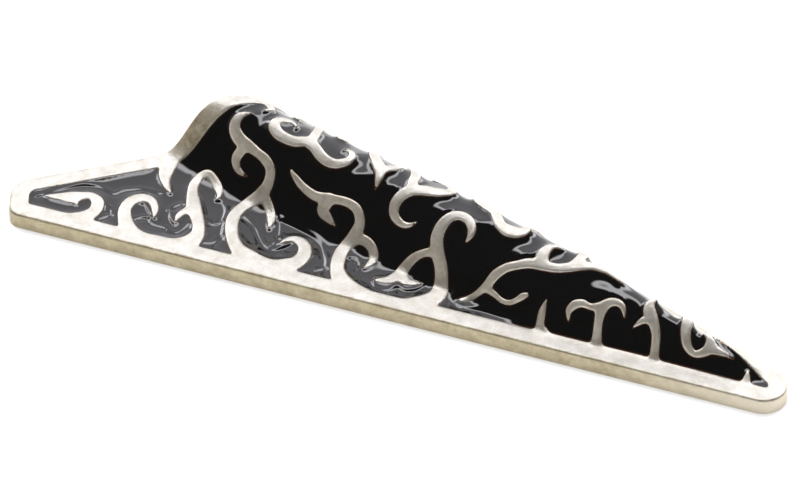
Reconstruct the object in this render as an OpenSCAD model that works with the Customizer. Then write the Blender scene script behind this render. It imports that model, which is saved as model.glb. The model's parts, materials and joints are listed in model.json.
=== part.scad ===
// A long silver brooch with black enamel between raised scrolls.
// The near edge of the base lies along X, from the rounded left tip to the right tip.
// Y runs from the near edge towards the far corner, and Z is up, with the back at z = 0.

/* [Casting] */
// Height of the flat base plate, from the back to the silver face
plate_t = 1.44; // [1.2:0.04:1.6]
// Height of the dome above the plate, at its open end
dome_h = 5.5; // [4.4:0.2:6.0]
// Width of the silver border
border_w = 1.65; // [1.4:0.05:1.9]
// Metal left over the hollow back
cast_t = 1.5; // [1.46:0.02:1.7]
// Depth of the enamel bed under the silver face
bed_depth = 0.55; // [0.4:0.05:0.7]

/* [Enamel] */
// How far the enamel stays under the silver face
enamel_drop = 0.1; // [0.06:0.02:0.2]
// Clearance between enamel and silver
enamel_gap = 0.02; // [0.01:0.01:0.04]

/* [Pin] */
// Thickness of the pin stem
pin_d = 0.9; // [0.7:0.1:1.1]
// Height of the stem's middle above the surface that the brooch lies on
pin_z = 1.0; // [0.8:0.1:1.3]
// Where along the brooch the catch stands
catch_x = 22; // [21:0.5:26]
// Where along the brooch the pin's joint stands
joint_x = 47; // [40:0.5:48]

/* [Hidden] */
silver_colour = [0.86, 0.83, 0.78];
enamel_colour = [0.07, 0.07, 0.08];
steel_colour = [0.7, 0.7, 0.72];

// The left edge runs from the left tip to the far corner: y = left_y0 + left_rise * x
left_y0 = 4.76;
left_rise = 0.745;
// The far edge falls from the far corner to the right tip, with a slight bow
far_y0 = 26.98;
far_rise = -0.3326;
far_bow = 1.1;
corner_x = 20.6;
far_end_x = 66.4;
// Rounded corners of the base, each as x, y and radius
LEFT_TIP_FAR = [2.2, 3.1, 2.45];
LEFT_TIP_NEAR = [1.65, 1.3, 1.3];
RIGHT_TIP = [68.0, 2.05, 2.05];
FAR_CORNER = [21.06, 17.33, 2.5];

// The dome's crest is straight in plan, from its open end to the right tip
crest_x0 = 15;
crest_y0 = 15;
crest_x1 = 68;
crest_y1 = 3.3;
// The near foot of the dome: its place at foot_x, its fall along X, and its flare at the open end
foot_x = 22;
foot_y = 7.75;
foot_rise = -0.22;
flare_x = 20;
foot_flare = 0.023;
// How the crest sinks along the dome: a steady part, and a part that only shows near the right tip
crest_fall = 0.2;
crest_power = 6.5;
open_end_fall = 0.0009;
// Fullness of the dome's section: a bell at the open end, a full arch further on
bell_open = 2.0;
bell_full = 0.9;
bell_far = 0.62;
// Narrowest far side that the section may have, and flat metal left between border and dome
far_least = 0.35;
foot_clear = 0.12;

function crest_t(x) = (x - crest_x0) / (crest_x1 - crest_x0);
function crest_t01(x) = min(1, max(0, crest_t(x)));
function crest_y(x) = crest_y0 + (crest_y1 - crest_y0) * crest_t(x);
function left_of_flare(x) = max(0, flare_x - x);
function near_foot(x) = max(border_w + foot_clear,
    foot_y + foot_rise * (x - foot_x) + foot_flare * pow(left_of_flare(x), 2));
function far_t(x) = min(1, max(0, (x - corner_x) / (far_end_x - corner_x)));
function far_edge(x) = far_y0 + far_rise * x + far_bow * sin(180 * far_t(x));
function far_foot(x) = max(far_edge(x) - border_w - 2 * foot_clear, crest_y(x) + far_least);
function crest_h(x) = dome_h
    * (1 - crest_fall * crest_t01(x) - (1 - crest_fall) * pow(crest_t01(x), crest_power))
    * (1 - open_end_fall * pow(left_of_flare(x), 2));
function bell(x) = bell_open + (bell_full - bell_open) * min(1, 2 * crest_t01(x));
function fullness(x, q) = q < 0 ? bell(x) : min(bell(x), bell_far);
// Height over the plate, q being -1 at the near foot, 0 on the crest and 1 at the far foot
function section_h(x, q) = crest_h(x) * pow(max(0, 1 - q * q), fullness(x, q));
function section_y(x, q) = crest_y(x)
    + (q < 0 ? q * (crest_y(x) - near_foot(x)) : q * (far_foot(x) - crest_y(x)));
function section_q(x, y) = y < crest_y(x)
    ? max(-1, (y - crest_y(x)) / (crest_y(x) - near_foot(x)))
    : min(1, (y - crest_y(x)) / (far_foot(x) - crest_y(x)));
function face_h(x, y) = section_h(x, section_q(x, y));
// Slope of the face, taken over a short step
slope_step = 0.3;
function slope(x, y) = [
    (face_h(x + slope_step, y) - face_h(x - slope_step, y)) / (2 * slope_step),
    (face_h(x, y + slope_step) - face_h(x, y - slope_step)) / (2 * slope_step)];
// A layer under a slope is taken deeper straight down, so that its thickness is true
steepest = 2.2;
function deeper(x, y) = min(steepest, norm([1, slope(x, y)[0], slope(x, y)[1]]));

// Sections of the dome along X, and the places in each section where a point lies
SECTION_X = [-2, 4, 8, each [10.12:1.6:18.22], each [20.3:2.5:57.9], each [59.8:1.8:67.1], 68, 72];
SECTION_Q = [-1, -0.93, -0.82, -0.68, -0.5, -0.27, 0, 0.27, 0.5, 0.68, 0.82, 0.93, 1];
near_limit = -2;
far_limit = 26;
under = -4;

// One row of points along a section, on the face lowered by depth
function section_row(x, depth) = [
    [x, near_limit, plate_t - depth],
    for (q = SECTION_Q) let (y = section_y(x, q)) [x, y, plate_t + section_h(x, q) - depth * deeper(x, y)],
    [x, far_limit, plate_t - depth]];

// Everything under the face, lowered by depth, as one block
module under_face(depth) {
    rows = [for (x = SECTION_X) section_row(x, depth)];
    nr = len(rows);
    nc = len(rows[0]);
    top = [for (row = rows) each row];
    bottom = [for (p = top) [p[0], p[1], under - depth]];
    n = nr * nc;
    polyhedron(
        points = concat(top, bottom),
        faces = concat(
            [for (i = [0:nr - 2], j = [0:nc - 2], k = [0, 1]) let (a = i * nc + j)
                k == 0 ? [a, a + 1, a + nc] : [a + 1, a + nc + 1, a + nc]],
            [for (i = [0:nr - 2], j = [0:nc - 2], k = [0, 1]) let (a = n + i * nc + j)
                k == 0 ? [a, a + nc, a + 1] : [a + 1, a + nc, a + nc + 1]],
            [for (j = [0:nc - 2]) [j, n + j, n + j + 1, j + 1]],
            [for (j = [0:nc - 2]) let (a = (nr - 1) * nc + j) [a, a + 1, n + a + 1, n + a]],
            [for (i = [0:nr - 2]) let (a = i * nc) [a, a + nc, n + a + nc, n + a]],
            [for (i = [0:nr - 2]) let (a = i * nc + nc - 1) [a, n + a, n + a + nc, a + nc]]),
        convexity = 6);
}

module corner(c) {
    translate([c[0], c[1]]) circle(r = c[2], $fn = 28);
}

// Outline of the base
module base_outline() {
    far_r = FAR_CORNER[2];
    hull() {
        corner(LEFT_TIP_FAR);
        corner(LEFT_TIP_NEAR);
        corner(RIGHT_TIP);
        corner(FAR_CORNER);
        for (t = [0.2:0.15:0.8]) {
            x = corner_x + t * (far_end_x - corner_x);
            translate([x, far_edge(x) - far_r * norm([1, far_rise])]) circle(r = far_r, $fn = 60);
        }
    }
}

// The field inside the border
module field_outline(inset) {
    offset(delta = -border_w - inset) base_outline();
}

// Scrolls, each a list of points of its middle line with x, y and half of its width on the metal.
// Points under 1.65 from an edge lie in the border, where a scroll takes root.
SCROLLS = [
    // leaf hook at the left tip, and its barb
    [[5.8, 1.0, 0.9], [6.9, 1.75, 0.85], [7.4, 2.6, 0.68], [7.5, 3.4, 0.6], [7.15, 4.3, 0.57],
     [6.35, 4.68, 0.5], [5.6, 4.35, 0.6], [4.9, 3.9, 0.78], [4.1, 3.68, 0.54], [3.4, 3.47, 0.36],
     [2.8, 3.35, 0.12]],
    [[5.2, 3.8, 0.4], [5.75, 3.15, 0.12]],
    // open hook
    [[12.5, 0.9, 0.85], [11.15, 1.8, 0.78], [10.3, 3.0, 0.64], [9.85, 4.1, 0.58], [9.9, 5.2, 0.6],
     [10.5, 5.95, 0.62], [11.3, 6.05, 0.5], [11.95, 5.55, 0.4], [12.35, 4.8, 0.32], [12.6, 4.0, 0.12]],
    // stem with a crook, and its barb
    [[16.3, 1.0, 0.9], [16.9, 1.9, 0.75], [17.0, 3.0, 0.65], [16.7, 4.1, 0.58], [16.1, 5.2, 0.6],
     [15.4, 6.2, 0.7],
        [14.8, 7.4, 0.62], [14.3, 8.5, 0.5], [14.1, 9.5, 0.48], [14.35, 10.3, 0.45], [14.95, 10.45, 0.42],
        [15.75, 9.95, 0.42], [16.4, 9.3, 0.38], [16.7, 8.7, 0.24], [16.65, 8.1, 0.08]],
    [[15.3, 6.2, 0.6], [14.75, 5.6, 0.42], [14.5, 4.9, 0.3], [14.55, 4.1, 0.1]],
    // thorn where the border starts to climb
    [[10.9, 11.8, 0.9], [11.1, 10.4, 0.72], [11.3, 9.5, 0.6], [11.7, 8.7, 0.42], [12.2, 8.0, 0.28],
     [12.7, 7.5, 0.06]],
    // large S on the open end of the dome, its barb and its lower branch
    [[22.8, 0.9, 0.9], [21.55, 2.1, 0.8], [20.25, 3.4, 0.62], [19.45, 4.8, 0.6], [19.0, 6.2, 0.6],
     [19.0, 7.4, 0.58], [19.4, 8.4, 0.6], [20.3, 9.1, 0.65], [20.78, 9.7, 0.54], [20.75, 10.4, 0.5],
     [20.1, 10.95, 0.5], [19.2, 11.35, 0.45], [18.2, 11.75, 0.55], [17.2, 12.15, 0.65],
     [16.5, 12.75, 0.6], [16.45, 13.35, 0.5], [16.9, 13.8, 0.3], [17.65, 14.05, 0.06]],
    [[17.9, 11.75, 0.5], [17.25, 11.25, 0.5], [17.45, 10.75, 0.4], [18.0, 10.4, 0.28], [18.7, 10.15, 0.06]],
    [[20.7, 9.0, 0.5], [21.3, 8.5, 0.45], [21.85, 7.8, 0.42], [22.15, 7.1, 0.36], [22.35, 6.2, 0.08]],
    // hook that curls back over the near border
    [[24.0, 1.0, 1.0], [25.4, 1.8, 0.95], [26.2, 2.8, 0.8], [26.45, 3.8, 0.68], [26.2, 4.8, 0.6],
     [25.6, 5.45, 0.55],
        [24.9, 5.6, 0.45], [24.35, 5.25, 0.3], [23.95, 4.6, 0.08]],
    // long feather on the near flank, its barb and its lower branch
    [[31.5, 1.0, 0.9], [30.45, 2.2, 0.8], [29.7, 3.4, 0.64], [29.35, 4.8, 0.64], [29.33, 6.0, 0.62],
     [29.9, 6.78, 0.65], [30.12, 7.5, 0.52], [29.6, 8.18, 0.48], [28.6, 8.58, 0.43], [27.5, 8.75, 0.43],
     [26.6, 8.8, 0.52], [25.4, 9.0, 0.46], [24.2, 9.45, 0.4], [23.3, 9.95, 0.32], [22.7, 10.35, 0.15]],
    [[26.8, 8.75, 0.55], [26.45, 8.25, 0.6], [27.1, 7.8, 0.42], [27.95, 7.35, 0.06]],
    [[29.9, 6.7, 0.5], [30.9, 6.55, 0.5], [31.75, 6.15, 0.48], [32.18, 5.5, 0.43], [32.08, 4.8, 0.3],
     [31.8, 4.05, 0.06]],
    // volute on the crest, and the branch that goes over it
    [[22.0, 13.55, 0.08], [21.7, 14.0, 0.15], [21.0, 14.25, 0.3], [20.2, 13.95, 0.45], [20.0, 13.3, 0.55],
        [20.5, 12.7, 0.55], [21.4, 12.35, 0.52], [22.4, 12.2, 0.52], [23.4, 12.35, 0.52], [24.2, 12.0, 0.52],
        [25.0, 11.4, 0.52], [25.9, 11.0, 0.5], [26.8, 10.95, 0.45], [27.6, 11.3, 0.42], [27.75, 11.9, 0.35],
        [27.4, 12.35, 0.22], [26.8, 12.4, 0.08]],
    [[23.8, 12.3, 0.5], [23.8, 13.0, 0.48], [23.75, 14.0, 0.42], [23.4, 15.4, 0.42], [22.6, 16.4, 0.42],
     [21.6, 16.5, 0.36], [21.1, 15.8, 0.24], [21.5, 15.3, 0.08]],
    // fork on the crest and its right arm
    [[30.8, 9.45, 0.06], [30.8, 10.1, 0.32], [30.75, 10.8, 0.48], [30.4, 11.5, 0.58], [29.9, 12.2, 0.52],
     [29.35, 13.1, 0.5], [29.1, 14.2, 0.42], [29.8, 15.0, 0.3], [30.6, 14.7, 0.08]],
    [[30.8, 11.2, 0.5], [31.4, 11.6, 0.42], [31.9, 11.95, 0.3], [32.25, 12.4, 0.08]],
    // hook over the crest and its left branch
    [[35.3, 7.5, 0.08], [34.7, 7.3, 0.24], [33.9, 7.4, 0.36], [33.1, 7.9, 0.46], [32.95, 8.6, 0.52],
     [33.4, 9.3, 0.55], [34.2, 9.8, 0.55], [35.2, 10.0, 0.57], [36.3, 10.15, 0.55], [37.05, 10.55, 0.48],
     [37.15, 11.3, 0.45], [36.6, 12.0, 0.4], [35.7, 12.6, 0.3], [35.0, 12.5, 0.08]],
    [[33.9, 9.9, 0.5], [33.8, 10.7, 0.48], [33.7, 11.6, 0.48], [33.3, 12.6, 0.48], [32.6, 13.6, 0.45],
     [32.4, 14.7, 0.5], [33.2, 16.2, 0.8]],
    // tree with a crook, its left branch and the branch's second tip
    [[37.2, 1.0, 1.0], [38.35, 2.0, 0.98], [38.87, 3.0, 0.84], [38.82, 4.0, 0.7], [38.5, 4.9, 0.65],
     [37.9, 5.7, 0.65], [37.5, 6.5, 0.63], [37.6, 7.3, 0.58], [38.1, 8.0, 0.5], [38.8, 8.3, 0.46],
     [39.6, 8.15, 0.44], [40.2, 7.6, 0.42], [40.4, 7.0, 0.35], [40.2, 6.45, 0.12]],
    [[37.6, 5.8, 0.5], [36.6, 5.76, 0.38], [35.7, 5.5, 0.45], [35.1, 4.95, 0.54], [34.85, 4.2, 0.6],
     [34.4, 3.5, 0.52], [33.8, 3.2, 0.36], [33.3, 3.05, 0.15]],
    [[35.2, 4.2, 0.6], [35.9, 3.8, 0.48], [36.5, 3.85, 0.34], [37.1, 4.0, 0.1]],
    // cup shape on the crest
    [[39.6, 13.2, 0.9], [39.5, 12.0, 0.7], [39.9, 11.0, 0.75], [40.8, 10.3, 0.72], [41.65, 9.65, 0.55],
     [42.1, 8.9, 0.5], [42.7, 8.2, 0.55], [43.6, 7.85, 0.65], [44.5, 8.0, 0.55], [44.85, 8.6, 0.32],
     [44.75, 9.05, 0.1]],
    // long branch down the near flank, its ring and its lower tip
    [[40.95, 3.2, 0.22], [41.6, 3.4, 0.28], [42.3, 3.65, 0.32], [42.95, 4.0, 0.42], [43.5, 4.55, 0.46],
     [44.3, 5.0, 0.42], [45.2, 5.25, 0.42], [46.2, 5.5, 0.48], [47.4, 5.5, 0.48], [48.6, 5.5, 0.44],
     [49.6, 5.8, 0.48], [50.6, 6.25, 0.5], [51.6, 6.5, 0.4], [52.6, 6.4, 0.3], [53.4, 6.15, 0.22],
     [54.1, 5.75, 0.08]],
    [[47.1, 6.0, 0.6], [47.1, 6.6, 0.54], [47.4, 7.2, 0.37], [47.85, 7.45, 0.22], [48.4, 7.4, 0.08]],
    [[50.0, 6.3, 0.45], [50.25, 7.1, 0.46], [50.2, 8.0, 0.46], [49.7, 8.9, 0.45], [48.8, 9.5, 0.38],
     [47.9, 9.5, 0.1]],
    [[43.1, 3.8, 0.36], [43.8, 3.55, 0.3], [44.5, 3.28, 0.24], [45.2, 3.15, 0.21], [45.8, 3.25, 0.25],
     [46.3, 3.45, 0.32], [46.65, 3.55, 0.22]],
    // small thorn on the near border
    [[48.7, 1.3, 0.8], [48.4, 2.1, 0.42], [48.35, 2.7, 0.35], [48.45, 3.3, 0.1]],
    // anchor and its left arm
    [[53.6, 1.0, 0.8], [53.45, 2.0, 0.45], [53.3, 2.8, 0.4], [53.35, 3.5, 0.5], [53.85, 3.95, 0.42],
     [54.5, 4.08, 0.34], [55.05, 3.85, 0.27], [55.4, 3.3, 0.09]],
    [[53.0, 3.5, 0.42], [52.3, 3.44, 0.3], [51.6, 3.52, 0.36], [51.0, 3.35, 0.4], [50.62, 2.95, 0.3],
     [50.78, 2.45, 0.08]],
    // stem with a barb
    [[58.65, 1.2, 0.5], [58.5, 2.2, 0.4], [58.3, 2.9, 0.4], [57.8, 3.55, 0.5], [57.3, 4.1, 0.55],
     [57.2, 4.55, 0.42], [57.3, 4.95, 0.28], [57.55, 5.28, 0.1]],
    [[57.5, 3.6, 0.4], [57.0, 3.4, 0.32], [56.65, 3.15, 0.2], [56.3, 2.88, 0.08]],
    // comma shape and its inner curl
    [[60.4, 6.6, 0.7], [60.5, 5.4, 0.5], [60.6, 4.3, 0.5], [60.7, 3.5, 0.46], [61.1, 2.75, 0.41],
     [61.8, 2.42, 0.33], [62.5, 2.6, 0.4], [63.1, 3.0, 0.5], [63.8, 3.05, 0.36], [64.5, 3.05, 0.22],
     [65.1, 3.0, 0.06]],
    [[63.0, 3.3, 0.48], [62.8, 3.62, 0.36], [62.45, 3.8, 0.18], [62.15, 3.85, 0.06]],
    // thorn at the right tip
    [[66.6, 1.2, 0.6], [66.6, 2.0, 0.34], [66.55, 2.4, 0.2], [66.45, 2.7, 0.08]],
    // fillet between the roots of the large S and the hook
    [[21.9, 2.0, 1.0], [23.2, 1.55, 1.0], [24.6, 1.6, 1.0], [25.6, 2.1, 0.95]],
    // scrolls of the far flank
    [[17.4, 17.2, 0.7], [18.4, 16.2, 0.42], [18.9, 15.4, 0.34], [18.5, 14.8, 0.08]],
    [[26.9, 17.9, 0.8], [26.3, 16.3, 0.5], [25.6, 15.4, 0.42], [25.7, 14.5, 0.34], [26.4, 14.1, 0.08]],
    [[47.2, 11.8, 0.8], [46.3, 10.6, 0.45], [45.3, 10.2, 0.4], [44.5, 10.6, 0.3], [44.7, 11.0, 0.08]],
    [[53.9, 10.2, 0.8], [53.5, 8.9, 0.4], [54.2, 8.1, 0.34], [55.0, 8.0, 0.08]]];

// A smooth line through a scroll's points
steps = 1;
function pick(row, i) = row[max(0, min(len(row) - 1, i))];
function smooth_point(row, i, t) =
    let (a = pick(row, i - 1), b = row[i], c = pick(row, i + 1), d = pick(row, i + 2))
    0.5 * (2 * b + (c - a) * t + (2 * a - 5 * b + 4 * c - d) * t * t + (3 * b - a - 3 * c + d) * t * t * t);
function smooth_line(row) = [
    for (i = [0:len(row) - 2], s = [0:steps - 1]) smooth_point(row, i, s / steps),
    row[len(row) - 1]];

// The sideways step across a scroll, level with the metal's slope, so that its width is true
function across(line, i) = let (
    d = pick(line, i + 1) - pick(line, i - 1),
    g = slope(line[i][0], line[i][1]),
    n = [-d[1], d[0]] / norm([d[0], d[1]]),
    a = n - g * (g * n) / (1 + g * g))
    a / sqrt(a * n);

module scroll(row, grow) {
    line = smooth_line(row);
    last = len(line) - 1;
    // Where a scroll ends it grows lengthwise too
    ends = [for (i = [0:last])
        let (d = pick(line, i + 1) - pick(line, i - 1), u = [d[0], d[1]] / norm([d[0], d[1]]))
        u * (i == last ? grow : (i == 0 ? -grow : 0))];
    sides = [for (i = [0:last])
        let (c = [line[i][0], line[i][1]] + ends[i], s = across(line, i) * (line[i][2] + grow))
        [c + s, c - s]];
    for (i = [0:last - 1]) {
        hull() {
            polygon([sides[i][0], sides[i][1], sides[i + 1][1], sides[i + 1][0]]);
        }
    }
}

module scrolls(grow) {
    for (row = SCROLLS) {
        scroll(row, grow);
    }
}

tall_h = plate_t + dome_h + 2;

// The part's origin is under the middle of its box
middle = [34.9, 9.915];

module in_place() {
    translate([-middle[0], -middle[1], 0]) children();
}

module silver_casting() {
    color(silver_colour) in_place() difference() {
        intersection() {
            union() {
                under_face(bed_depth);
                intersection() {
                    under_face(0);
                    translate([0, 0, -1.5]) linear_extrude(tall_h) union() {
                        difference() {
                            translate([-1.5, -1.5]) square([73, 27]);
                            field_outline(0);
                        }
                        scrolls(0);
                    }
                }
            }
            linear_extrude(tall_h) base_outline();
        }
        under_face(cast_t);
    }
}

module enamel() {
    color(enamel_colour) in_place() difference() {
        intersection() {
            under_face(enamel_drop);
            translate([0, 0, -1]) linear_extrude(tall_h) difference() {
                field_outline(enamel_gap);
                scrolls(enamel_gap);
            }
        }
        under_face(bed_depth - enamel_gap);
    }
}

// Places of the two posts, on the crest line
catch_at = [catch_x, crest_y(catch_x)];
joint_at = [joint_x, crest_y(joint_x)];
pin_run = norm(joint_at - catch_at);
pin_turn = atan2(catch_at[1] - joint_at[1], catch_at[0] - joint_at[0]);
post_d = 1.6;
foot_d = 3.0;
foot_t = 0.5;
seat_gap = 0.15;
pin_past = 1.6;
point_l = 2.4;

function roof_at(x, y) = plate_t + face_h(x, y) - cast_t * deeper(x, y);
// The lowest place of the roof over a round foot, less a small clearance
function roof_z(at, r) =
    min([for (a = [0:30:330]) roof_at(at[0] + r * cos(a), at[1] + r * sin(a))]) - seat_gap;

// A post that hangs from the roof of the hollow, with a small round foot soldered to it
module post(at) {
    top = roof_z(at, foot_d / 2);
    translate([at[0], at[1], pin_z]) cylinder(h = top - pin_z, d = post_d, $fn = 32);
    translate([at[0], at[1], top - foot_t]) cylinder(h = foot_t, d = foot_d, $fn = 32);
}

module pin_back() {
    color(steel_colour) in_place() union() {
        post(catch_at);
        post(joint_at);
        translate([joint_at[0], joint_at[1], pin_z]) rotate([0, 0, pin_turn]) {
            // barrel of the joint
            rotate([90, 0, 0]) cylinder(h = 2.4, d = pin_d + 0.7, center = true, $fn = 32);
            // stem and its point
            rotate([0, 90, 0]) cylinder(h = pin_run + pin_past, d = pin_d, $fn = 32);
            translate([pin_run + pin_past, 0, 0]) rotate([0, 90, 0])
                cylinder(h = point_l, d1 = pin_d, d2 = 0.2, $fn = 32);
            // collar of the catch
            translate([pin_run, 0, 0]) rotate([0, 90, 0])
                cylinder(h = 1.8, d = pin_d + 0.7, center = true, $fn = 32);
        }
    }
}

silver_casting();
enamel();
pin_back();
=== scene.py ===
import json
import math

import bmesh
import bpy
import numpy as np
from mathutils import Matrix, Vector

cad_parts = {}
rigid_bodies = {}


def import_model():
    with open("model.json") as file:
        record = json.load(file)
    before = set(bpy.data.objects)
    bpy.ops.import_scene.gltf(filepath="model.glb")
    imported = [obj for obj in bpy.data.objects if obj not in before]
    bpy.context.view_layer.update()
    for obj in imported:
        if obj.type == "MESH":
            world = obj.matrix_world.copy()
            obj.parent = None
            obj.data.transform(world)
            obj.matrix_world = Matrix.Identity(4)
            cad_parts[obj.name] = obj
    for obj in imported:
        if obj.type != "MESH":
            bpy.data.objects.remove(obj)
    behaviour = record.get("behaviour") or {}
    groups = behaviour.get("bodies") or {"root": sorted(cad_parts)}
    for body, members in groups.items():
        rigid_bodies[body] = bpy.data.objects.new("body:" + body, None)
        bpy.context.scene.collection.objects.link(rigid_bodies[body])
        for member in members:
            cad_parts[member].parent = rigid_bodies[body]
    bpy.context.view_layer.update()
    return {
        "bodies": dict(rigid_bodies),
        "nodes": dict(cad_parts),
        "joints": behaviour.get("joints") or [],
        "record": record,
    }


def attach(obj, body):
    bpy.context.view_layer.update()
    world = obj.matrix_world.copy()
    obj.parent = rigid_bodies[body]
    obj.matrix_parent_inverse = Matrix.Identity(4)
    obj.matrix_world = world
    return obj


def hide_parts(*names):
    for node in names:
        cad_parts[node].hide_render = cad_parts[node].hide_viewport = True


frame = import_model()

# Units and places

# Everything is worked out in millimetres with the near edge of the base along X at y = 0,
# as in part.scad, and moved to the row's frame in metres when a mesh is made.
MM = 0.001
MIDDLE = np.array([34.9, 9.915, 0.0])


def to_row(points):
    return (np.asarray(points, float) - MIDDLE) * MM


def fade_in(values, start, over):
    """0 up to start, 1 from start + over on, and straight between them."""
    return np.clip((values - start) / over, 0.0, 1.0)


# The casting's driving sizes, as in part.scad

PLATE = 1.44            # height of the flat plate's face over the back
BORDER = 1.65           # width of the border
CAST = 1.5              # metal left over the hollow back
CAST_STEEPEST = 2.2     # most that a slope may deepen it, measured upright
DOME_HEIGHT = 5.5       # height of the dome over the plate, at its open end
FOOT_CLEAR = 0.12       # flat metal left between the border and the foot of the dome

# The dome's crest is straight in plan, from its open end to the right tip. It sinks steadily,
# and then fast near the tip.
CREST_X, CREST_Y = 15.0, 15.0
CREST_RUN, CREST_DROP = 53.0, 11.7
CREST_FALL, CREST_POWER = 0.2, 6.5
# The near foot of the dome: its place, its fall along X, and its flare at the open end
FOOT_X, FOOT_Y, FOOT_SLOPE = 22.0, 7.75, 0.22
FLARE_X, FOOT_FLARE, OPEN_END_FALL = 20.0, 0.023, 0.0009
# The far edge falls from the far corner to the right tip, with a slight bow.
CORNER_X, FAR_RUN = 20.6, 45.8
FAR_Y, FAR_SLOPE, FAR_BOW = 26.98, 0.3326, 1.1
# Narrowest sides that the dome's section may have
NEAR_LEAST, FAR_LEAST = 0.3, 0.35
# Fullness of the dome's section: a bell at the open end, a full arch further on
BELL_OPEN, BELL_FULL, BELL_FAR = 2.0, 0.9, 0.62

# Rounding of the creases: of the silver face, of the enamel over it, and of both at the foot of
# the dome's open end, which runs out along a stretch of X
FACE_SOFT, ENAMEL_SOFT, OPEN_END_SOFT = 0.22, 0.55, 0.75
OPEN_END = (13.0, 18.0)


def crest_part(x):
    """Place along the crest, from 0 at the open end to 1 at the right tip."""
    return np.clip((x - CREST_X) / CREST_RUN, 0.0, 1.0)


def crest_y(x):
    return CREST_Y - CREST_DROP * (x - CREST_X) / CREST_RUN


def left_of_flare(x):
    return np.maximum(0.0, FLARE_X - x)


def near_foot(x):
    line = FOOT_Y - FOOT_SLOPE * (x - FOOT_X) + FOOT_FLARE * left_of_flare(x) ** 2
    return np.maximum(BORDER + FOOT_CLEAR, line)


def far_edge(x):
    part = np.clip((x - CORNER_X) / FAR_RUN, 0.0, 1.0)
    return FAR_Y - FAR_SLOPE * x + FAR_BOW * np.sin(math.pi * part)


def far_foot(x):
    return np.maximum(far_edge(x) - BORDER - 2 * FOOT_CLEAR, crest_y(x) + FAR_LEAST)


def raw_height(x, y):
    """Height of the silver face over the back, with the creases left in."""
    along = crest_part(x)
    sunk = 1 - CREST_FALL * along - (1 - CREST_FALL) * along ** CREST_POWER
    top = DOME_HEIGHT * sunk * (1 - OPEN_END_FALL * left_of_flare(x) ** 2)
    bell = BELL_OPEN - (BELL_OPEN - BELL_FULL) * np.minimum(1.0, 2.0 * along)
    crest = crest_y(x)
    near = y < crest
    near_part = (crest - y) / np.maximum(crest - near_foot(x), NEAR_LEAST)
    far_part = (y - crest) / (far_foot(x) - crest)
    part = np.clip(np.where(near, near_part, far_part), 0.0, 1.0)
    fullness = np.where(near, bell, np.minimum(bell, BELL_FAR))
    return PLATE + top * np.maximum(0.0, 1 - part * part) ** fullness


class Surface:
    """A smooth surface kept as heights on a square grid in plan, with its slopes."""

    LEFT, RIGHT, NEAR, FAR = -4.0, 75.0, -4.0, 26.0
    STEP = 0.1

    def __init__(self, height_at, soft):
        self.xs = np.arange(self.LEFT, self.RIGHT, self.STEP)
        ys = np.arange(self.NEAR, self.FAR, self.STEP)
        reach = int(3 * soft / self.STEP) + 1
        weights = np.exp(-0.5 * (np.arange(-reach, reach + 1) * self.STEP / soft) ** 2)
        weights /= weights.sum()

        def blurred(row):
            return np.convolve(np.pad(row, reach, mode="edge"), weights, "valid")

        heights = height_at(self.xs[:, None], ys[None, :])
        for axis in (0, 1):
            heights = np.apply_along_axis(blurred, axis, heights)
        self.set_heights(heights)

    def set_heights(self, heights):
        self.heights = heights
        self.slope_x, self.slope_y = np.gradient(heights, self.STEP)

    def softened(self, other, start, end):
        """Runs over into a softer surface from end towards start."""
        share = np.clip((end - self.xs) / (end - start), 0.0, 1.0)[:, None]
        share = share * share * (3 - 2 * share)
        self.set_heights(self.heights * (1 - share) + other.heights * share)
        return self

    def read(self, field, x, y):
        """A field's values at places between the grid's points."""
        u, v = (x - self.LEFT) / self.STEP, (y - self.NEAR) / self.STEP
        i = np.clip(u.astype(int), 0, field.shape[0] - 2)
        j = np.clip(v.astype(int), 0, field.shape[1] - 2)
        a, b = u - i, v - j
        return (field[i, j] * (1 - a) * (1 - b) + field[i + 1, j] * a * (1 - b)
                + field[i, j + 1] * (1 - a) * b + field[i + 1, j + 1] * a * b)

    def height(self, x, y):
        return self.read(self.heights, x, y)

    def normal(self, x, y):
        fall_x, fall_y = -self.read(self.slope_x, x, y), -self.read(self.slope_y, x, y)
        normal = np.stack([fall_x, fall_y, np.ones(len(x))], -1)
        return normal / np.linalg.norm(normal, axis=1)[:, None]


OPEN_END_FACE = Surface(raw_height, OPEN_END_SOFT)
FACE = Surface(raw_height, FACE_SOFT).softened(OPEN_END_FACE, *OPEN_END)
SOFT_FACE = Surface(raw_height, ENAMEL_SOFT).softened(OPEN_END_FACE, *OPEN_END)


def on_face(points, lift=0.0):
    """Points on the silver face, or lifted off it along its normal."""
    x, y = points[:, 0], points[:, 1]
    base = np.stack([x, y, FACE.height(x, y)], -1)
    lift = np.broadcast_to(lift, x.shape)
    return base + FACE.normal(x, y) * lift[:, None]


def roof(x, y):
    """Height of the hollow's roof, cut as deep under a slope as under flat metal."""
    upright = FACE.normal(x, y)[:, 2]
    return FACE.height(x, y) - CAST * np.minimum(CAST_STEEPEST, 1 / np.maximum(upright, 0.1))


# Outline of the base

# Rounded corners, each as x, y and radius
CORNERS = [(2.2, 3.1, 2.45), (1.65, 1.3, 1.3), (68.0, 2.05, 2.05), (21.06, 17.33, 2.5)]
# Circles that carry the bowed far edge: their radius and their places along it
FAR_RADIUS = 2.5
FAR_PARTS = (0.2, 0.35, 0.5, 0.65, 0.8)
CIRCLE_SIDES = 180


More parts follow.
